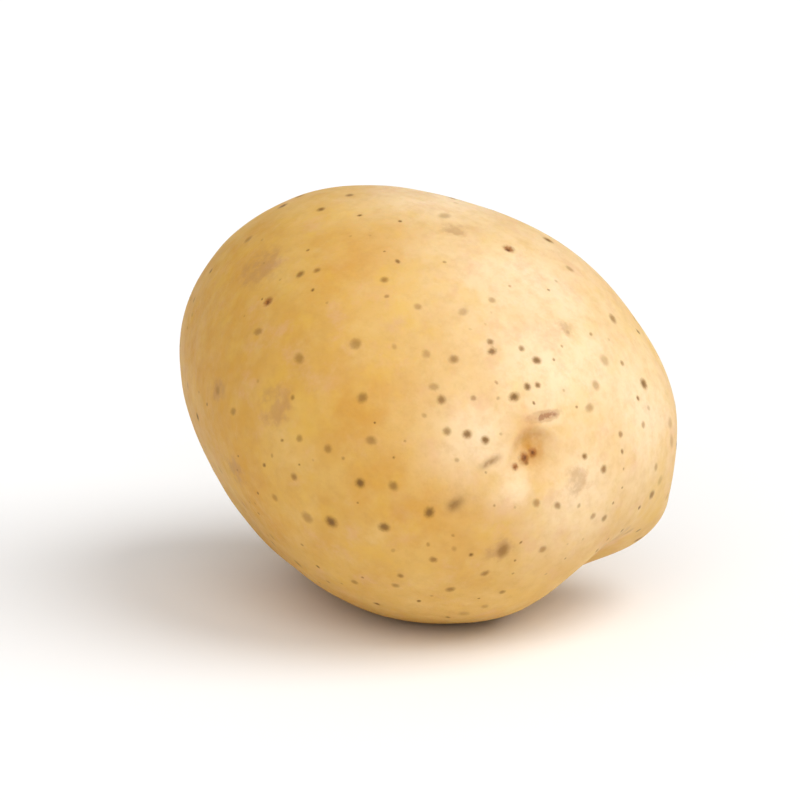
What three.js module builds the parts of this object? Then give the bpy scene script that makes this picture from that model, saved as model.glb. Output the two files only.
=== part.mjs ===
// A washed, yellow-skinned table potato lying on its side, as one solid tuber.
// Millimetres, +Z up. +X points to the rose end, where the eyes crowd together, and -X to the stem end.
// The origin is on the surface that the tuber rests on, under the middle of its box.

import * as THREE from "three";
import { mergeVertices } from "three/addons/utils/BufferGeometryUtils.js";

// Driving dimensions
const LENGTH = 82; // from the stem end to the rose end, before the swells
const WIDTH = 67;
const THICKNESS = 60;
const NOSE_DOWN = 14; // degrees that the rose end dips as the tuber lies
const REST_DEPTH = 0.9; // how much the weight has flattened the underside
const FACETS_PER_EDGE = 22; // of the icosahedron that carries the skin: 20 x 22 x 22 triangles

// The eyes, which turn about the tuber in a rough spiral from the rose end. skew turns one on its spot.
const EYES = [
  { along: 30, around: 51, width: 8.0, depth: 1.5, skew: -20 },
  { along: 46, around: 181, width: 8.5, depth: 1.4, skew: 0 },
  { along: 40, around: -120, width: 7.0, depth: 1.2, skew: 0 },
  { along: 88, around: 142, width: 8.0, depth: 1.1, skew: 0 },
  { along: 103, around: -140, width: 9.0, depth: 1.3, skew: 10 },
  { along: 128, around: -78, width: 7.5, depth: 0.8, skew: 0 },
  { along: 146, around: 149, width: 8.0, depth: 1.0, skew: 0 },
];

// The form of an eye, in its own widths, with heights as shares of its depth. up is towards its stem side.
const BASIN = { up: -0.1, bend: 0.25, halfAcross: 0.4, halfUp: 0.44 };
const BROW = { up: 0.4, bend: 1.1, halfAcross: 0.5, halfUp: 0.15, height: 0.36 };
const UNDER_BROW = { below: 0.18, halfAcross: 0.4, halfUp: 0.12, depth: 0.2 };
const PAD = { up: -0.75, halfAcross: 1.1, halfUp: 0.4, height: 0.25 };
const BUDS = [
  { across: 0.18, up: -0.11, radius: 0.1, height: 0.32 },
  { across: -0.03, up: -0.09, radius: 0.08, height: 0.28 },
  { across: 0.43, up: -0.17, radius: 0.06, height: 0.18 },
];
const EYE_REACH = 2; // beyond which an eye changes nothing, so that it leaves the far side alone

// Where the tuber broke from its runner: a small crater with a raised rim, in a wide dimple
const SCAR = { along: 173, around: 60, radius: 2.4, depth: 0.9 };
const SCAR_RIM = { halfWidth: 0.35, height: 0.45 };
const SCAR_CRATER = 0.7; // radius of the crater, as a share of the scar's
const SCAR_DIMPLE = { radius: 3, depth: 0.6 };

const GATHER_REACH = 16; // degrees round an eye or the scar within which the facets are drawn closer
const GATHER_PULL = 0.5; // and by how much at the middle

// Broad swells, and hollows where height is below zero. spread and height are millimetres.
const SWELLS = [
  { along: 132, around: -8, spread: 26, height: -5.6 }, // the narrow stem end
  { along: 103, around: -51, spread: 22, height: -4.4 },
  { along: 130, around: 49, spread: 26, height: -0.7 },
  { along: 113, around: 102, spread: 20, height: 1.1 },
  { along: 74, around: 125, spread: 18, height: 2.3 },
  { along: 50, around: 165, spread: 16, height: 4.3 },
  { along: 49, around: -157, spread: 9, height: 4.5 }, // the knob beside the rose end
  { along: 34, around: -125, spread: 7.5, height: -3.5 }, // the notch below the knob
  { along: 105, around: -165, spread: 24, height: -1.8 },
  { along: 108, around: -95, spread: 20, height: 4.1 }, // the belly, which it rests on
];

// The soft valley that leads from the eye in view towards the underside
const VALLEY = {
  start: { along: 36, around: 20 },
  end: { along: 56, around: -14 },
  width: 2.6,
  depth: 0.5,
};

// The slow unevenness of a grown thing: two sets of ripples along x, y and z, their lengths in
// millimetres a radian.
const RIPPLES = [
  { height: 0.45, lengths: [9.5, 8.0, 10.5], starts: [0.6, 1.9, 1.97] },
  { height: 0.13, lengths: [3.9, 4.4, 3.6], starts: [1.1, 0.2, 2.3] },
];

const SKIN = new THREE.MeshStandardMaterial({
  color: 0xdcb06a,
  roughness: 0.55,
  metalness: 0,
});

const semiAxes = new THREE.Vector3(LENGTH, WIDTH, THICKNESS).divideScalar(2);

// A place on the tuber: along is the angle in degrees from the rose end, and around turns about the
// length, from 0 facing -Y to 90 facing up.
function direction(along, around) {
  const a = THREE.MathUtils.degToRad(along);
  const t = THREE.MathUtils.degToRad(around);
  return new THREE.Vector3(Math.cos(a), -Math.sin(a) * Math.cos(t), Math.sin(a) * Math.sin(t));
}

const onBody = (towards) => towards.clone().multiply(semiAxes);
const outward = (towards) => towards.clone().divide(semiAxes).normalize();
const bell = (x) => Math.exp(-x * x);

function swell({ along, around, spread, height }) {
  const middle = onBody(direction(along, around));
  return (point) => height * bell(point.distanceTo(middle) / spread);
}

// An eye: a shallow basin, the brow that arches over it on the stem side, the hollow under the brow,
// the pad below, and the buds in the basin.
function eye({ along, around, width, depth, skew }) {
  const towards = direction(along, around);
  const middle = onBody(towards);
  const normal = outward(towards);
  const stemward = new THREE.Vector3(-1, 0, 0).projectOnPlane(normal).normalize();
  stemward.applyAxisAngle(normal, THREE.MathUtils.degToRad(skew));
  const sideways = new THREE.Vector3().crossVectors(normal, stemward);
  return (point) => {
    const away = point.clone().sub(middle).divideScalar(width);
    if (away.length() > EYE_REACH) return 0;
    const up = away.dot(stemward);
    const across = away.dot(sideways);
    const overBasin = up - BASIN.up + BASIN.bend * across ** 2;
    const basin = bell(across / BASIN.halfAcross) * bell(overBasin / BASIN.halfUp);
    const overArch = up - BROW.up + BROW.bend * across ** 2;
    const brow = bell(overArch / BROW.halfUp) * bell((across / BROW.halfAcross) ** 2);
    const underBrow = bell((overArch + UNDER_BROW.below) / UNDER_BROW.halfUp)
      * bell((across / UNDER_BROW.halfAcross) ** 2);
    const pad = bell(across / PAD.halfAcross) * bell((up - PAD.up) / PAD.halfUp);
    let lift = BROW.height * brow - basin - UNDER_BROW.depth * underBrow + PAD.height * pad;
    for (const bud of BUDS) {
      lift += bud.height * bell(Math.hypot(across - bud.across, up - bud.up) / bud.radius);
    }
    return depth * lift;
  };
}

function scar({ along, around, radius, depth }) {
  const middle = onBody(direction(along, around));
  return (point) => {
    const away = point.distanceTo(middle) / radius;
    const rim = SCAR_RIM.height * bell((away - 1) / SCAR_RIM.halfWidth);
    const dimple = SCAR_DIMPLE.depth * bell(away / SCAR_DIMPLE.radius);
    return depth * (rim - bell(away / SCAR_CRATER) - dimple);
  };
}

// A furrow between two places, which fades towards its ends.
function furrow({ start, end, width, depth }) {
  const line = new THREE.Line3(
    onBody(direction(start.along, start.around)),
    onBody(direction(end.along, end.around)),
  );
  const nearest = new THREE.Vector3();
  return (point) => {
    const share = line.closestPointToPointParameter(point, true);
    line.at(share, nearest);
    return -depth * 4 * share * (1 - share) * bell(point.distanceTo(nearest) / width);
  };
}

function undulation(point) {
  let lift = 0;
  for (const { height, lengths, starts } of RIPPLES) {
    const waves = point.toArray().map((value, axis) => Math.sin(value / lengths[axis] + starts[axis]));
    lift += height * waves[0] * waves[1] * waves[2];
  }
  return lift;
}

const relief = [...SWELLS.map(swell), ...EYES.map(eye), scar(SCAR), furrow(VALLEY), undulation];

function skinPoint(towards) {
  const base = onBody(towards);
  const lift = relief.reduce((sum, feature) => sum + feature(base), 0);
  return base.addScaledVector(outward(towards), lift);
}

// Draws a direction towards each eye and the scar near it, so that the facets there are finer.
function gathered(towards) {
  const moved = towards.clone();
  for (const { along, around } of [...EYES, SCAR]) {
    const middle = direction(along, around);
    const angle = moved.angleTo(middle);
    if (angle < 1e-6) continue;
    const axis = new THREE.Vector3().crossVectors(moved, middle).normalize();
    const near = bell(THREE.MathUtils.radToDeg(angle) / GATHER_REACH);
    moved.applyAxisAngle(axis, GATHER_PULL * angle * near);
  }
  return moved;
}

function tuber() {
  let geometry = new THREE.IcosahedronGeometry(1, FACETS_PER_EDGE - 1);
  geometry.deleteAttribute("normal");
  geometry.deleteAttribute("uv");
  geometry = mergeVertices(geometry, 1e-5);
  const positions = geometry.getAttribute("position");
  const towards = new THREE.Vector3();
  for (let i = 0; i < positions.count; i++) {
    towards.fromBufferAttribute(positions, i).normalize();
    const point = skinPoint(gathered(towards));
    positions.setXYZ(i, point.x, point.y, point.z);
  }
  geometry.rotateY(THREE.MathUtils.degToRad(NOSE_DOWN));
  geometry.computeBoundingBox();
  const floor = geometry.boundingBox.min.z + REST_DEPTH;
  for (let i = 0; i < positions.count; i++) positions.setZ(i, Math.max(positions.getZ(i), floor));
  geometry.computeBoundingBox();
  const { min, max } = geometry.boundingBox;
  geometry.translate(-(min.x + max.x) / 2, -(min.y + max.y) / 2, -floor);
  geometry.computeVertexNormals();
  return geometry;
}

const potato = new THREE.Mesh(tuber(), SKIN);
potato.name = "potato";

const part = new THREE.Group();
part.add(potato);

export default part;
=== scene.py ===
"""A washed, yellow-skinned table potato, with its skin, eyes and dots, lying on a pale studio floor."""
import math

import bmesh
import bpy
import numpy as np
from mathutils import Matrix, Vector


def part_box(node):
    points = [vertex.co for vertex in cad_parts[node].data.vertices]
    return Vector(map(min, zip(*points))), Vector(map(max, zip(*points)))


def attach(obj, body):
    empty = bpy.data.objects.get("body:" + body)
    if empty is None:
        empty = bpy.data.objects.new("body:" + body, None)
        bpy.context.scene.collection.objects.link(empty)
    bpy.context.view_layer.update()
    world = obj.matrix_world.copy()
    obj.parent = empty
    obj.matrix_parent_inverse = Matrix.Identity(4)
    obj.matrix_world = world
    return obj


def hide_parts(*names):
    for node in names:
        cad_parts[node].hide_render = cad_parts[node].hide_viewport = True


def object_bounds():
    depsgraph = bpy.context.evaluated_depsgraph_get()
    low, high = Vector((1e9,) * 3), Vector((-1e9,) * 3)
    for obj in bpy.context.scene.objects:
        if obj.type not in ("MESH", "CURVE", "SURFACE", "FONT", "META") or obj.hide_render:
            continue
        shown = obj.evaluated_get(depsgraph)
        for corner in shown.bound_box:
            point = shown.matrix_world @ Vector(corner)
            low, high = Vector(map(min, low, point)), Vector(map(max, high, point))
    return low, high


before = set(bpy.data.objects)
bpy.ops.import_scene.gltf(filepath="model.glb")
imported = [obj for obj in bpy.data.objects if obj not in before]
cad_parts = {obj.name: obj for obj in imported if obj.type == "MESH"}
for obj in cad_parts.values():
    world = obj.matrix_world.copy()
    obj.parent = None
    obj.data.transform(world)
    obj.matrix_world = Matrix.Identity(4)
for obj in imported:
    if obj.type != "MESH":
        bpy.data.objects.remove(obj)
cad_low, cad_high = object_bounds()

MM = 0.001

# The view: where the camera stands round the potato, in degrees and metres
AZIMUTH = 43
ELEVATION = 15
CAMERA_DISTANCE = 0.75
FIELD_WIDTH = 0.118  # of the view at the potato
SENSOR_WIDTH = 36  # of the camera, in millimetres

# The studio: a round floor and a low backdrop along its edge, in metres
STUDIO_RADIUS = 4.0
BACKDROP_HEIGHT = 0.5
STUDIO_SIDES = 64

# The lights: where each stands round the potato and how wide it is, in degrees, and how strong
KEY_LIGHT = {"azimuth": AZIMUTH + 74, "elevation": 52, "width": 48, "strength": 1.85}
FILL_LIGHT = {"azimuth": AZIMUTH - 4, "elevation": 42, "width": 50, "strength": 1.15}
ROOM_STRENGTH = 0.45  # of the light from all round

# The tuber's form in millimetres, as its solid has it. along is the angle in degrees from the rose end,
# and around turns about the length, from 0 facing -Y to 90 facing up.
LENGTH = 82  # from the stem end to the rose end, before the swells
WIDTH = 67
THICKNESS = 60
NOSE_DOWN = 14  # degrees that the rose end dips as the tuber lies
REST_DEPTH = 0.9  # how much the weight has flattened the underside
SEMI_AXES = np.array([LENGTH, WIDTH, THICKNESS]) / 2

# The eyes. skew turns one on its spot, in degrees.
EYES = [
    {"along": 30, "around": 51, "width": 8.0, "depth": 1.5, "skew": -20},
    {"along": 46, "around": 181, "width": 8.5, "depth": 1.4, "skew": 0},
    {"along": 40, "around": -120, "width": 7.0, "depth": 1.2, "skew": 0},
    {"along": 88, "around": 142, "width": 8.0, "depth": 1.1, "skew": 0},
    {"along": 103, "around": -140, "width": 9.0, "depth": 1.3, "skew": 10},
    {"along": 128, "around": -78, "width": 7.5, "depth": 0.8, "skew": 0},
    {"along": 146, "around": 149, "width": 8.0, "depth": 1.0, "skew": 0},
]
# The form of an eye, in its own widths, with heights as shares of its depth
BASIN = {"up": -0.1, "bend": 0.25, "half_across": 0.4, "half_up": 0.44}
BROW = {"up": 0.4, "bend": 1.1, "half_across": 0.5, "half_up": 0.15, "height": 0.36}
UNDER_BROW = {"below": 0.18, "half_across": 0.4, "half_up": 0.12, "depth": 0.2}
PAD = {"up": -0.75, "half_across": 1.1, "half_up": 0.4, "height": 0.25}
BUDS = [
    {"across": 0.18, "up": -0.11, "radius": 0.10, "height": 0.32},
    {"across": -0.03, "up": -0.09, "radius": 0.08, "height": 0.28},
    {"across": 0.43, "up": -0.17, "radius": 0.06, "height": 0.18},
]
EYE_REACH = 2  # beyond which an eye changes nothing

# Where the tuber broke from its runner: a small crater with a raised rim, in a wide dimple
SCAR = {"along": 173, "around": 60, "radius": 2.4, "depth": 0.9}
SCAR_RIM = {"half_width": 0.35, "height": 0.45}
SCAR_CRATER = 0.7  # radius of the crater, as a share of the scar's
SCAR_DIMPLE = {"radius": 3, "depth": 0.6}

# Broad swells, and hollows where height is below zero
SWELLS = [
    {"along": 132, "around": -8, "spread": 26, "height": -5.6},  # the narrow stem end
    {"along": 103, "around": -51, "spread": 22, "height": -4.4},
    {"along": 130, "around": 49, "spread": 26, "height": -0.7},
    {"along": 113, "around": 102, "spread": 20, "height": 1.1},
    {"along": 74, "around": 125, "spread": 18, "height": 2.3},
    {"along": 50, "around": 165, "spread": 16, "height": 4.3},
    {"along": 49, "around": -157, "spread": 9, "height": 4.5},  # the knob beside the rose end
    {"along": 34, "around": -125, "spread": 7.5, "height": -3.5},  # the notch below the knob
    {"along": 105, "around": -165, "spread": 24, "height": -1.8},
    {"along": 108, "around": -95, "spread": 20, "height": 4.1},  # the belly, which it rests on
]
# The soft valley that leads from the eye in view towards the underside
VALLEY = {"start": (36, 20), "end": (56, -14), "width": 2.6, "depth": 0.5}
# The slow unevenness of a grown thing: ripples along x, y and z, their lengths in millimetres a radian
RIPPLES = [
    {"height": 0.45, "lengths": (9.5, 8.0, 10.5), "starts": (0.6, 1.9, 1.97)},
    {"height": 0.13, "lengths": (3.9, 4.4, 3.6), "starts": (1.1, 0.2, 2.3)},
]

# What only the fine surface has: creases and pits of the near side, in millimetres
CREASES = [
    {"start": (37.5, 28.5), "end": (35, 38), "width": 0.45, "depth": 0.22},
    {"start": (40.5, 6), "end": (37.8, 14), "width": 0.8, "depth": 0.3},
]
PITS = [
    {"along": 101, "around": 42, "radius": 0.6, "depth": 0.35},
    {"along": 74, "around": 99, "radius": 0.6, "depth": 0.35},
]
# and a fine ripple of the skin, which sways a little along y, and the dip and the rim of each dot, whose
# widths and place are in the dot's radii
FINE_RIPPLE = {"height": 0.035, "lengths": (1.7, 1.9, 2.1), "starts": (0, 1.3, 0.7)}
RIPPLE_SWAY = {"reach": 0.4, "length": 2.3}
DOT_DIP = {"depth": 0.07, "width": 0.6}
DOT_RIM = {"height": 0.03, "away": 1.1, "width": 0.35}

# Thin healed scrapes and blotches, where the cork is greyer and pinker: a line or a round spot. The last
# two blotches are painted shade in the fold under the knob.
SCRAPES = [
    {"start": (36, 58), "end": (32.6, 74), "width": 0.7},
]
BLOTCHES_AND_FOLD_SHADE = [
    {"along": 111, "around": 51, "radius": 4.6},
    {"along": 84, "around": 17, "radius": 3.8},
    {"along": 104, "around": 10, "radius": 2.4},
    {"along": 51, "around": 96, "radius": 1.6},
    {"along": 84, "around": 92, "radius": 2.2},
    {"along": 27, "around": -12, "radius": 2.4},
    {"along": 94, "around": -13, "radius": 3.2},
    {"along": 15, "around": 62, "radius": 2.6},
    # The last two: painted shade in the fold under the knob, not blotches of the cork
    {"along": 20, "around": -127, "radius": 2.5},
    {"along": 25, "around": -142, "radius": 3.5},
]
SCRAPE_STRENGTH = 1.7
BLOTCH_STRENGTH = 0.6
LINE_FADE = 0.45  # how far from its middle a scrape or crease fades, as a share of its length

# Where the skin is a deeper gold, partly its own colour and partly painted shade on the lower left, the
# underside and the stem end, and where a highlight is painted in paler cream, mostly at the top and towards
# the rose end
GOLDEN_AND_SHADE = [
    {"along": 45, "around": 7, "radius": 10.0},
    {"along": 55, "around": 11, "radius": 7.5},
    {"along": 90, "around": -20, "radius": 15.0},
    {"along": 66, "around": 28, "radius": 9.5},
    {"along": 90, "around": 62, "radius": 11.0},
    {"along": 128, "around": 5, "radius": 31.0},
    {"along": 126, "around": 52, "radius": 14.0},
    {"along": 90, "around": -75, "radius": 28.0},
]
# Painted highlight: cream where the lights fall brightest, mostly at the top and towards the rose end
PAINTED_HIGHLIGHT = [
    {"along": 42, "around": 90, "radius": 19.0},
    {"along": 32, "around": 128, "radius": 15.0},
    {"along": 41, "around": 40, "radius": 8.0},
    {"along": 12, "around": 62, "radius": 11.0},
    {"along": 96, "around": 103, "radius": 12.0},
    {"along": 28, "around": 27, "radius": 4.5},
    {"along": 64, "around": 98, "radius": 18.0},
]

# Painted shade: the warmer, browner tint of an eye's hollow, and a weaker one under its brow, in eye widths
HOLLOW_SHADE = {"across": -0.04, "up": 0.02, "half_across": 0.27, "half_up": 0.4}
BROW_SHADE = {"strength": 0.6, "half_across": 0.42, "half_up": 0.17}
SCAR_SHADE = 1.1  # radius of the same painted shade at the scar, as a share of the scar's
BUD_TIP = 0.8  # radius of the dark tip of a bud, as a share of the bud's
FAR_AWAY = 4.0  # what is farther than this from a dot or dark mark, in its radii, counts as this far

# The dots of the skin: lenticels, where it breathes. Those of the near side are set one by one, after the
# photograph, as along, around, radius and darkness, and the rest are drawn by chance.
NEAR_DOTS = [
    # between the top and the eye
    (57, 56, 0.55, 0.6), (55, 69, 0.45, 0.7), (53, 67, 0.45, 0.8), (50, 76, 0.4, 0.7), (46, 78, 0.5, 0.9),
    (42, 68, 0.45, 0.9), (41, 72, 0.4, 0.8), (42, 61, 0.55, 1.0), (62, 52, 0.5, 0.3), (71, 62, 0.45, 0.4),
    (81, 63, 0.5, 0.6), (98, 53, 0.55, 0.7), (95, 56, 0.4, 0.6), (64, 70, 0.5, 0.3), (63, 80, 0.45, 0.4),
    # left of the eye
    (53, 43, 0.55, 0.7), (56, 45, 0.45, 0.4), (48, 50, 0.35, 0.5), (48, 35, 0.5, 0.6), (44, 38, 0.55, 0.8),
    (40, 40, 0.5, 0.9), (67, 31, 0.6, 0.6), (84, 32, 0.6, 0.5), (75, 43, 0.7, 0.5), (98, 33, 0.5, 0.5),
    # below it, towards the stem end
    (44, 4, 0.6, 0.8), (60, 7, 0.6, 0.9), (53, 10, 0.55, 0.6), (69, 13, 0.5, 0.5), (76, 12, 0.45, 0.5),
    (61, 21, 0.5, 0.5), (75, 0, 0.5, 0.6), (65, -10, 0.8, 0.9), (53, -6, 0.6, 0.8), (71, -12, 0.8, 0.4),
    (80, -11, 0.5, 0.4), (104, 10, 0.6, 0.4), (96, 8, 0.5, 0.5),
    # along the lower edge
    (26, -14, 0.75, 0.6), (16, -23, 0.5, 0.5), (31, -29, 0.4, 0.6), (42, -17, 0.45, 0.6),
    (62, -35, 0.45, 0.5), (50, -27, 0.4, 0.6), (52, -33, 0.45, 0.5), (40, -36, 0.45, 0.6),
    (30, -51, 0.4, 0.6),
    # right of the eye, and on the knob
    (21, 24, 0.45, 0.5), (15, 29, 0.4, 0.6), (2, 69, 0.4, 0.5), (4, 180, 0.45, 0.6), (25, 180, 0.5, 0.7),
    (20, 77, 0.4, 0.8), (15, 96, 0.5, 0.7), (24, 113, 0.4, 0.6), (29, 133, 0.4, 0.5), (31, 91, 0.5, 0.4),
    (36, 99, 0.6, 0.4), (42, 108, 0.7, 0.3), (42, 118, 0.35, 0.6),
]
DOT_COUNT = 330
DOT_RADIUS = (0.28, 0.68)  # smallest and largest, in millimetres
FAINT_RADIUS = (0.16, 0.3)  # of the small ones between those of the near side
SMALL_BIAS = 1.6  # a power above 1, which makes the small dots more common than the large
DOT_GAP = 2.2  # millimetres at least between the middles of two
DOT_SHARE = 0.62  # of the drawn places, how many are kept midway along the tuber
DOT_SHARE_RISE = 0.38  # and how many more at the rose end, and fewer at the stem end
DOT_STRETCH = 0.5  # how much longer than wide a dot is at most
PLACE_SEED = 7
STRETCH_SEED = 11
# The middle of the near side, and how far it reaches, in degrees
NEAR_SIDE = {"along": 60, "around": 32, "reach": 66}

MESH_CUTS = 88  # pieces of each edge of the icosahedron that carries the skin
GATHER_REACH = 16  # degrees round an eye or the scar within which the facets are drawn closer
GATHER_PULL = 0.5  # and by how much at the middle
DOT_REACH = 1.5  # millimetres round a dot within which they are drawn closer
DOT_PULL = 0.45  # and by how much at the middle


def direction(along, around):
    a, t = math.radians(along), math.radians(around)
    return np.array([math.cos(a), -math.sin(a) * math.cos(t), math.sin(a) * math.sin(t)])


def unit(vectors):
    return vectors / np.linalg.norm(vectors, axis=-1, keepdims=True)


def bell(x):
    return np.exp(-np.square(x))


def outward(towards):
    return unit(towards / SEMI_AXES)


def distance(points, along, around):
    return np.linalg.norm(points - direction(along, around) * SEMI_AXES, axis=1)


def swell(points, along, around, spread, height):
    return height * bell(distance(points, along, around) / spread)


def eye_plane(points, along, around, width, skew):
    """Each point's place on an eye, in eye widths: across it, up towards the stem end, and its distance."""
    towards = direction(along, around)
    normal = outward(towards)
    stemward = unit(np.array([-1, 0, 0]) + normal * normal[0])
    sideways = np.cross(normal, stemward)
    turn = math.radians(skew)
    stemward = stemward * math.cos(turn) + sideways * math.sin(turn)
    sideways = np.cross(normal, stemward)
    away = (points - towards * SEMI_AXES) / width
    return away @ sideways, away @ stemward, np.linalg.norm(away, axis=1)


def eye(points, along, around, width, depth, skew):
    """An eye: a basin with buds, the brow over it, the hollow under the brow, and the pad below."""
    across, up, away = eye_plane(points, along, around, width, skew)
    over_basin = up - BASIN["up"] + BASIN["bend"] * across**2
    basin = bell(across / BASIN["half_across"]) * bell(over_basin / BASIN["half_up"])
    over_arch = up - BROW["up"] + BROW["bend"] * across**2
    brow = bell(over_arch / BROW["half_up"]) * bell((across / BROW["half_across"]) ** 2)
    under_brow = bell((over_arch + UNDER_BROW["below"]) / UNDER_BROW["half_up"])
    under_brow *= bell((across / UNDER_BROW["half_across"]) ** 2)
    pad = bell(across / PAD["half_across"]) * bell((up - PAD["up"]) / PAD["half_up"])
    lift = BROW["height"] * brow - basin - UNDER_BROW["depth"] * under_brow + PAD["height"] * pad
    for bud in BUDS:
        lift += bud["height"] * bell(np.hypot(across - bud["across"], up - bud["up"]) / bud["radius"])
    return depth * lift * (away < EYE_REACH)


def scar(points, along, around, radius, depth):
    away = distance(points, along, around) / radius
    rim = SCAR_RIM["height"] * bell((away - 1) / SCAR_RIM["half_width"])
    dimple = SCAR_DIMPLE["depth"] * bell(away / SCAR_DIMPLE["radius"])
    return depth * (rim - bell(away / SCAR_CRATER) - dimple)


def along_line(points, start, end):
    """How far along the line between two places each point is, from 0 to 1, and its distance from it."""
    first, last = direction(*start) * SEMI_AXES, direction(*end) * SEMI_AXES
    run = last - first
    share = np.clip((points - first) @ run / (run @ run), 0, 1)
    return share, np.linalg.norm(points - first - share[:, None] * run, axis=1)


def furrow(points, start, end, width, depth):
    """A furrow between two places, which fades towards its ends."""
    share, away = along_line(points, start, end)
    return -depth * 4 * share * (1 - share) * bell(away / width)


def undulation(points):
    lift = np.zeros(len(points))
    for one in RIPPLES:
        lift += one["height"] * np.prod(np.sin(points / one["lengths"] + one["starts"]), axis=1)
    return lift


def body_relief(points):
    """The relief that the solid has too."""
    lift = undulation(points) + scar(points, **SCAR) + furrow(points, **VALLEY)
    for one in SWELLS:
        lift += swell(points, **one)
    for one in EYES:
        lift += eye(points, **one)
    return lift


def gathered(towards):
    """Directions drawn towards each eye and the scar near them, so that the facets there are finer."""
    for one in EYES + [SCAR]:
        middle = direction(one["along"], one["around"])
        angle = np.arccos(np.clip(towards @ middle, -1, 1))
        pull = GATHER_PULL * angle * bell(np.degrees(angle) / GATHER_REACH)
        tangent = middle - towards * (towards @ middle)[:, None]
        size = np.linalg.norm(tangent, axis=1)
        tangent = tangent / np.maximum(size, 1e-9)[:, None]
        towards = towards * np.cos(pull)[:, None] + tangent * np.sin(pull)[:, None]
    return towards


def gathered_at_dots(towards, dots):
    """Directions drawn a little towards each dot, so that its edge is finer than the facets round it."""
    for along, around, *_ in dots:
        away = towards - direction(along, around)
        pull = DOT_PULL * bell(np.linalg.norm(away * SEMI_AXES, axis=1) / DOT_REACH)
        towards = unit(towards - away * pull[:, None])
    return towards


def all_dots():
    """The near side's dots and, by a seeded draw, the others, which are denser towards the rose end."""
    draw = np.random.default_rng(PLACE_SEED)
    dots = list(NEAR_DOTS)
    places = [direction(one[0], one[1]) * SEMI_AXES for one in dots]
    near = direction(NEAR_SIDE["along"], NEAR_SIDE["around"])
    while len(dots) < DOT_COUNT:
        towards = unit(draw.normal(size=3))
        if draw.random() > DOT_SHARE + DOT_SHARE_RISE * towards[0]:
            continue
        place = towards * SEMI_AXES
        if np.min(np.linalg.norm(np.array(places) - place, axis=1)) < DOT_GAP:
            continue
        in_view = towards @ near > math.cos(math.radians(NEAR_SIDE["reach"]))
        smallest, largest = FAINT_RADIUS if in_view else DOT_RADIUS
        radius = smallest + (largest - smallest) * draw.random() ** SMALL_BIAS
        along = math.degrees(math.acos(towards[0]))
        around = math.degrees(math.atan2(towards[2], -towards[1]))
        places.append(place)
        dots.append((along, around, radius, draw.random()))
    return dots


def dot_fields(points, dots):
    """How many radii each point is from the nearest dot, and that dot's darkness."""
    draw = np.random.default_rng(STRETCH_SEED)
    nearest = np.full(len(points), FAR_AWAY)
    darkness = np.zeros(len(points))
    for along, around, radius, dark in dots:
        normal = outward(direction(along, around))
        side = unit(np.cross(normal, [0, 0, 1]) + 1e-6)
        other = np.cross(normal, side)
        turn = draw.random() * math.pi
        stretch = 1 + DOT_STRETCH * draw.random() ** 2
        longways = side * math.cos(turn) + other * math.sin(turn)
        away = points - direction(along, around) * SEMI_AXES
        shortened = away - longways * (away @ longways)[:, None] * (1 - 1 / stretch)
        radii = np.linalg.norm(shortened, axis=1) / radius
        closer = radii < nearest
        nearest[closer] = radii[closer]
        darkness[closer] = dark
    return nearest, darkness


def fine_ripple(points):
    x_wave, y_wave, z_wave = (points / FINE_RIPPLE["lengths"] + FINE_RIPPLE["starts"]).T
    sway = RIPPLE_SWAY["reach"] * np.sin(points[:, 1] / RIPPLE_SWAY["length"])
    return FINE_RIPPLE["height"] * (np.sin(x_wave + sway) * np.sin(y_wave) * np.sin(z_wave))


def fine_relief(points, dots_away):
    """What the solid leaves out: a fine ripple, small creases, pits, and the dips and rims of the dots."""
    lift = fine_ripple(points)
    for one in CREASES:
        lift += furrow(points, **one)
    for one in PITS:
        lift -= one["depth"] * bell(distance(points, one["along"], one["around"]) / one["radius"])
    lift -= DOT_DIP["depth"] * bell(dots_away / DOT_DIP["width"])
    lift += DOT_RIM["height"] * bell((dots_away - DOT_RIM["away"]) / DOT_RIM["width"])
    return lift


def line_field(points, start, end, width):
    """1 along the middle of a line, falling softly to 0 beside it and at its ends."""
    share, away = along_line(points, start, end)
    return bell(away / width) * bell(((share - 0.5) / LINE_FADE) ** 2)


def spots_field(points, spots):
    """1 at the middle of each spot, falling softly to 0 round it."""
    fields = [bell(distance(points, one["along"], one["around"]) / one["radius"]) for one in spots]
    return np.max(fields, axis=0)


def scurf_and_shade_field(points):
    """Where the cork is greyer and pinker, and the painted shade in the fold under the knob: the blotches,
    and more strongly the scrapes.
    """
    field = BLOTCH_STRENGTH * spots_field(points, BLOTCHES_AND_FOLD_SHADE)
    for one in SCRAPES:
        field = np.maximum(field, SCRAPE_STRENGTH * line_field(points, **one))
    return field


def crease_shade_field(points):
    """How near each point is to a crease, from 0 to 1, for the shade painted along it."""
    fields = [line_field(points, one["start"], one["end"], one["width"]) for one in CREASES]
    return np.max(fields, axis=0)


def mark_field(points):
    """Dark marks, as the distance from the nearest in its own radii: pits and the tips of the buds."""
    nearest = np.full(len(points), FAR_AWAY)
    for one in PITS:
        nearest = np.minimum(nearest, distance(points, one["along"], one["around"]) / one["radius"])
    for one in EYES:
        across, up, away = eye_plane(points, one["along"], one["around"], one["width"], one["skew"])
        for bud in BUDS:
            off = np.hypot(across - bud["across"], up - bud["up"]) / (bud["radius"] * BUD_TIP)
            nearest = np.where(away < EYE_REACH, np.minimum(nearest, off), nearest)
    return nearest


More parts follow.
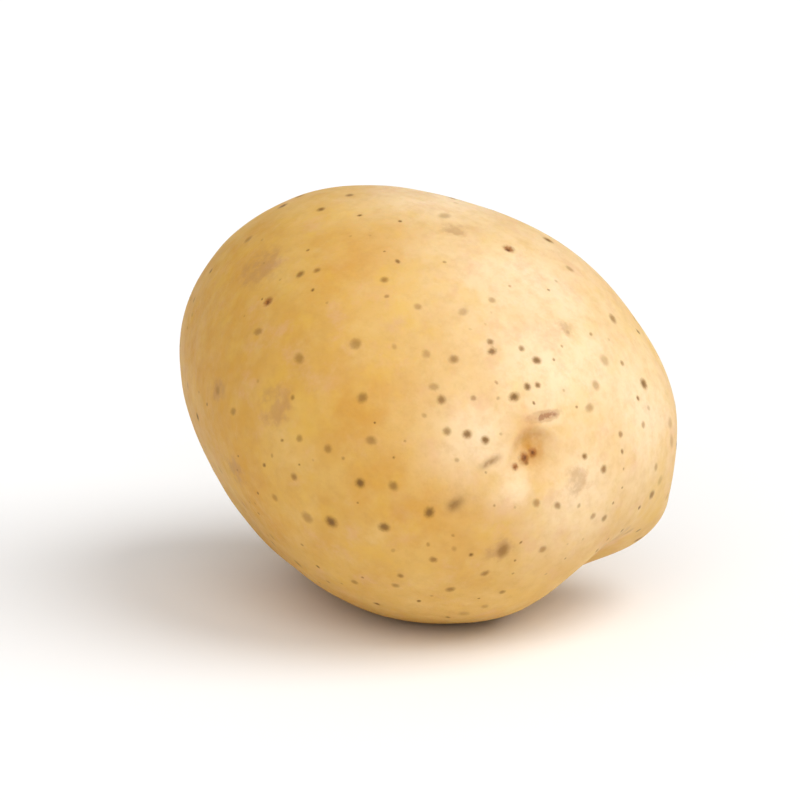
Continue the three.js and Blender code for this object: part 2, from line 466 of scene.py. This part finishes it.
def hollow_shade_field(points):
    """Where shade is painted: 1 in the middle of an eye's hollow and of the scar, falling to 0 round it,
    and less under a brow.
    """
    field = np.zeros(len(points))
    for one in EYES:
        across, up, away = eye_plane(points, one["along"], one["around"], one["width"], one["skew"])
        here = bell((across - HOLLOW_SHADE["across"]) / HOLLOW_SHADE["half_across"])
        here *= bell((up - HOLLOW_SHADE["up"]) / HOLLOW_SHADE["half_up"])
        over_arch = up - BROW["up"] + BROW["bend"] * across**2
        under_brow = BROW_SHADE["strength"] * bell((over_arch + UNDER_BROW["below"]) / BROW_SHADE["half_up"])
        under_brow *= bell((across / BROW_SHADE["half_across"]) ** 2)
        field = np.maximum(field, np.maximum(here, under_brow) * (away < EYE_REACH))
    away = distance(points, SCAR["along"], SCAR["around"]) / SCAR["radius"]
    return np.maximum(field, bell(away / SCAR_SHADE))


def sphere_mesh(cuts):
    """An icosahedron with each edge cut into that many pieces, as a bmesh."""
    form = bmesh.new()
    bmesh.ops.create_icosphere(form, subdivisions=1, radius=1)
    bmesh.ops.subdivide_edges(form, edges=form.edges[:], cuts=cuts - 1, use_grid_fill=True)
    bmesh.ops.triangulate(form, faces=form.faces[:])
    return form


def lay_down(points):
    """The tuber turned so that its rose end dips, as it lies."""
    turn = math.radians(NOSE_DOWN)
    x, y, z = points.T
    forward = x * math.cos(turn) + z * math.sin(turn)
    height = z * math.cos(turn) - x * math.sin(turn)
    return np.stack([forward, y, height], axis=1)


def make_tuber():
    """The tuber's skin, laid where its solid lies, with the fields that its material reads."""
    form = sphere_mesh(MESH_CUTS)
    mesh = bpy.data.meshes.new("potato_skin")
    form.to_mesh(mesh)
    form.free()
    places = np.empty(len(mesh.vertices) * 3)
    mesh.vertices.foreach_get("co", places)
    dots = all_dots()
    towards = gathered_at_dots(gathered(unit(places.reshape(-1, 3))), dots)
    base = towards * SEMI_AXES
    normal = outward(towards)

    solid = lay_down(base + normal * body_relief(base)[:, None])
    floor = solid[:, 2].min() + REST_DEPTH
    low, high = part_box("potato")
    shift = np.array([
        (low[0] + high[0]) / 2 / MM - (solid[:, 0].min() + solid[:, 0].max()) / 2,
        (low[1] + high[1]) / 2 / MM - (solid[:, 1].min() + solid[:, 1].max()) / 2,
        low[2] / MM - floor,
    ])

    dots_away, dots_dark = dot_fields(base, dots)
    lift = body_relief(base) + fine_relief(base, dots_away)
    points = lay_down(base + normal * lift[:, None])
    points[:, 2] = np.maximum(points[:, 2], floor)
    points = (points + shift) * MM

    mesh.vertices.foreach_set("co", points.astype(np.float32).ravel())
    mesh.shade_smooth()
    fields = {
        "dot_away": dots_away,
        "dot_dark": dots_dark,
        "mark_away": mark_field(base),
        "hollow_shade": hollow_shade_field(base),
        "crease_shade": crease_shade_field(base),
        "scurf_and_shade": scurf_and_shade_field(base),
        "gold_and_shade": spots_field(base, GOLDEN_AND_SHADE),
        "painted_highlight": spots_field(base, PAINTED_HIGHLIGHT),
    }
    for name, values in fields.items():
        mesh.attributes.new(name, "FLOAT", "POINT").data.foreach_set("value", values.astype(np.float32))
    mesh.update()
    tuber = bpy.data.objects.new("potato_skin", mesh)
    bpy.context.collection.objects.link(tuber)
    return tuber


def colour(hex_code):
    """An sRGB hex value as linear red, green, blue and alpha."""
    channels = [int(hex_code[i : i + 2], 16) / 255 for i in (1, 3, 5)]
    return [c / 12.92 if c <= 0.04045 else ((c + 0.055) / 1.055) ** 2.4 for c in channels] + [1]


def add(tree, kind, inputs=None, **settings):
    """Adds a shader node. An input given as a socket is linked, and any other is set."""
    made = tree.nodes.new("ShaderNode" + kind)
    for name, value in settings.items():
        setattr(made, name, value)
    for socket, value in (inputs or {}).items():
        if isinstance(value, bpy.types.NodeSocket):
            tree.links.new(value, made.inputs[socket])
        else:
            made.inputs[socket].default_value = value
    return made


def new_material(name):
    made = bpy.data.materials.new(name)
    made.use_nodes = True
    made.node_tree.nodes.clear()
    return made, made.node_tree


def per_metre(size_mm):
    """The scale of a pattern whose features are that many millimetres across."""
    return 1000 / size_mm


# Mix nodes: the sockets of their factor, two colours and result
FACTOR, FIRST, SECOND, MIXED = 0, 6, 7, 2


def washed_potato_skin():
    """Thin cork skin of a washed tuber: matt to waxy, mottled, and a little see-through."""
    made, tree = new_material("washed_potato_skin")
    place = add(tree, "TexCoord").outputs["Object"]

    def noise(size_mm, detail=4, roughness=0.55, distortion=0.0):
        return add(
            tree, "TexNoise",
            {"Vector": place, "Scale": per_metre(size_mm), "Detail": detail, "Roughness": roughness,
             "Distortion": distortion},
        ).outputs["Fac"]

    def ramp(value, low, high, out_low=0.0, out_high=1.0):
        return add(
            tree, "MapRange",
            {"Value": value, "From Min": low, "From Max": high, "To Min": out_low, "To Max": out_high},
            interpolation_type="SMOOTHSTEP",
        ).outputs["Result"]

    def maths(operation, *values):
        return add(tree, "Math", dict(enumerate(values)), operation=operation).outputs[0]

    def mixed(factor, first, second):
        return add(
            tree, "Mix", {FACTOR: factor, FIRST: first, SECOND: second}, data_type="RGBA"
        ).outputs[MIXED]

    def attribute(name):
        return add(tree, "Attribute", attribute_name=name).outputs["Fac"]

    # Yellow skin in soft darker and lighter drifts, a deeper gold in places, partly its own and partly
    # painted shade, and a painted highlight in cream in others
    drift = noise(15, 3, 0.5, 0.4)
    skin = mixed(ramp(drift, 0.35, 0.66), colour("#CEA04C"), colour("#DAB365"))
    # A deeper gold, partly the skin's own and partly painted shade on the lower left and underneath
    gold_and_shade = maths("MULTIPLY", attribute("gold_and_shade"), ramp(noise(5, 4), 0.3, 0.65, 0.6, 1))
    skin = mixed(gold_and_shade, skin, colour("#CB932E"))
    # Painted highlight: cream where the lights fall brightest
    painted_highlight = maths("MULTIPLY", attribute("painted_highlight"), ramp(noise(6, 4), 0.25, 0.6, 0.75, 1))
    skin = mixed(painted_highlight, skin, colour("#EACEA6"))
    # The mottling of the cork: browner and lighter flecks, and soft yellow and pink patches. The lighter
    # flecks and the pink are weaker where the gold and painted shade are, and the yellow where the
    # highlight is painted.
    mottle = ramp(noise(1.8, 5, 0.65), 0.38, 0.78, 0, 0.28)
    skin = mixed(mottle, skin, colour("#BA8A42"))
    less_gold_and_shade = ramp(attribute("gold_and_shade"), 0.3, 1, 1, 0.35)
    lighter = ramp(noise(4.5, 4, 0.6), 0.45, 0.85, 0, 0.22)
    skin = mixed(maths("MULTIPLY", lighter, less_gold_and_shade), skin, colour("#F0D8A4"))
    yellow = ramp(noise(6.5, 4, 0.6), 0.48, 0.7, 0, 0.4)
    less_painted_highlight = ramp(attribute("painted_highlight"), 0.3, 1, 1, 0.4)
    skin = mixed(maths("MULTIPLY", yellow, less_painted_highlight), skin, colour("#DAAE48"))
    pink = ramp(noise(5.4, 5, 0.65), 0.5, 0.72, 0, 0.45)
    skin = mixed(maths("MULTIPLY", pink, less_gold_and_shade), skin, colour("#D6A67E"))

    # Blotches and scrapes, greyer and pinker, with a ragged edge: the scrapes are stronger, and streaked.
    # Two of the blotches are painted shade in the fold under the knob.
    scurf_and_shade_edge = maths("MULTIPLY", attribute("scurf_and_shade"), ramp(noise(1.8, 4, 0.6), 0.3, 0.7, 0.6, 1.4))
    streaked = maths("MULTIPLY", attribute("scurf_and_shade"), ramp(noise(0.9, 3), 0.35, 0.65, 0.5, 1))
    scurf_and_shade = maths("MULTIPLY", ramp(scurf_and_shade_edge, 0.15, 0.6), ramp(streaked, 0.6, 1.3, 0.4, 1))
    skin = mixed(scurf_and_shade, skin, colour("#A57852"))

    # Painted shade: hollows are warmer and browner, and creases browner still
    hollow_shade = maths("MULTIPLY", attribute("hollow_shade"), ramp(noise(1.6, 4), 0.3, 0.65, 0.65, 1))
    skin = mixed(hollow_shade, skin, colour("#C08630"))
    # Painted shade along the creases
    crease_shade = maths("MULTIPLY", attribute("crease_shade"), ramp(noise(1.4, 3), 0.3, 0.6, 0.5, 0.85))
    skin = mixed(crease_shade, skin, colour("#8C632C"))

    # The dots: brown cork with a ragged edge, the darkest ones dark brown in the middle
    ragged = maths("MULTIPLY_ADD", noise(0.45, 3), 0.8, -0.4)
    dot_edge = maths("ADD", attribute("dot_away"), ragged)
    dot = ramp(dot_edge, 1.75, 0.5)
    dot_strength = maths("MULTIPLY", dot, ramp(attribute("dot_dark"), 0, 1, 0.3, 0.85))
    skin = mixed(dot_strength, skin, colour("#8A5E1A"))
    core = maths("MULTIPLY", ramp(dot_edge, 1.1, 0.1), ramp(attribute("dot_dark"), 0.4, 1, 0, 0.6))
    skin = mixed(core, skin, colour("#583810"))

    # Pits and bud tips
    mark_edge = maths("ADD", attribute("mark_away"), maths("MULTIPLY", ragged, 1.5))
    skin = mixed(ramp(mark_edge, 2.1, 0.5, 0, 0.9), skin, colour("#925410"))
    skin = mixed(ramp(mark_edge, 0.9, 0.1, 0, 0.8), skin, colour("#542A06"))

    # Relief too fine for the mesh: the grain and the pores of the skin
    grain = add(
        tree, "Bump", {"Strength": 0.25, "Distance": 0.0002, "Height": noise(0.6, 5, 0.6)}
    ).outputs["Normal"]
    pores = add(
        tree, "Bump", {"Strength": 0.35, "Distance": 0.0003, "Height": noise(2.4, 3, 0.5), "Normal": grain}
    ).outputs["Normal"]
    roughness = ramp(noise(2.0, 4), 0.3, 0.7, 0.52, 0.66)

    shader = add(
        tree, "BsdfPrincipled",
        {
            "Base Color": skin,
            "Roughness": roughness,
            "IOR": 1.4,
            "Subsurface Weight": 0.3,
            "Subsurface Radius": (1.0, 0.45, 0.15),
            "Subsurface Scale": 0.0022,
            "Normal": pores,
        },
    )
    add(tree, "OutputMaterial", {"Surface": shader.outputs[0]})
    return made


def studio_floor():
    """White painted board, which takes the soft shadow."""
    made, tree = new_material("white_studio_board")
    place = add(tree, "TexCoord").outputs["Object"]
    cloud = add(tree, "TexNoise", {"Vector": place, "Scale": per_metre(80)}).outputs["Fac"]
    tone = add(
        tree, "Mix", {FACTOR: cloud, FIRST: colour("#F5F4F3"), SECOND: colour("#F8F7F6")}, data_type="RGBA"
    ).outputs[MIXED]
    shader = add(tree, "BsdfPrincipled", {"Base Color": tone, "Roughness": 0.7})
    add(tree, "OutputMaterial", {"Surface": shader.outputs[0]})
    bpy.ops.mesh.primitive_circle_add(vertices=STUDIO_SIDES, radius=STUDIO_RADIUS, fill_type="NGON")
    floor = bpy.context.object
    floor.name = "studio_floor"
    floor.data.materials.append(made)


def studio_backdrop():
    """Glowing white cloth all round, which low views see above the floor."""
    made, tree = new_material("lit_white_cloth")
    shader = add(tree, "Emission", {"Color": colour("#FFFFFF"), "Strength": 1.0})
    add(tree, "OutputMaterial", {"Surface": shader.outputs[0]})
    bpy.ops.mesh.primitive_cylinder_add(
        vertices=STUDIO_SIDES, radius=STUDIO_RADIUS, depth=BACKDROP_HEIGHT, end_fill_type="NOTHING",
        location=(0, 0, BACKDROP_HEIGHT / 2),
    )
    backdrop = bpy.context.object
    backdrop.name = "studio_backdrop"
    backdrop.data.materials.append(made)


def toward(azimuth, elevation):
    """The way from the potato to something at that angle round it: azimuth 0 is -Y, and 90 is +X."""
    a, e = math.radians(azimuth), math.radians(elevation)
    return Vector((math.sin(a) * math.cos(e), -math.cos(a) * math.cos(e), math.sin(e)))


def soft_light(name, azimuth, elevation, width, strength):
    """A wide white light from far off, so that the floor is lit evenly. width is in degrees."""
    lamp = bpy.data.lights.new(name, "SUN")
    lamp.angle = math.radians(width)
    lamp.energy = strength
    light = bpy.data.objects.new(name, lamp)
    light.rotation_euler = (-toward(azimuth, elevation)).to_track_quat("-Z", "Y").to_euler()
    bpy.context.collection.objects.link(light)


def make_lights():
    soft_light("key", **KEY_LIGHT)
    soft_light("fill", **FILL_LIGHT)
    world = bpy.data.worlds.new("white_room")
    world.use_nodes = True
    background = world.node_tree.nodes["Background"]
    background.inputs["Color"].default_value = colour("#FFFFFF")
    background.inputs["Strength"].default_value = ROOM_STRENGTH
    bpy.context.scene.world = world


def make_camera():
    lens = bpy.data.cameras.new("camera")
    lens.sensor_width = SENSOR_WIDTH
    lens.lens = lens.sensor_width * CAMERA_DISTANCE / FIELD_WIDTH
    camera = bpy.data.objects.new("camera", lens)
    middle = (cad_low + cad_high) / 2
    camera.location = middle + toward(AZIMUTH, ELEVATION) * CAMERA_DISTANCE
    camera.rotation_euler = (-toward(AZIMUTH, ELEVATION)).to_track_quat("-Z", "Y").to_euler()
    bpy.context.collection.objects.link(camera)
    bpy.context.scene.camera = camera


tuber = make_tuber()
tuber.data.materials.append(washed_potato_skin())
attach(tuber, "root")
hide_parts("potato")

studio_floor()
studio_backdrop()
make_lights()
make_camera()
bpy.context.scene.view_settings.view_transform = "Standard"
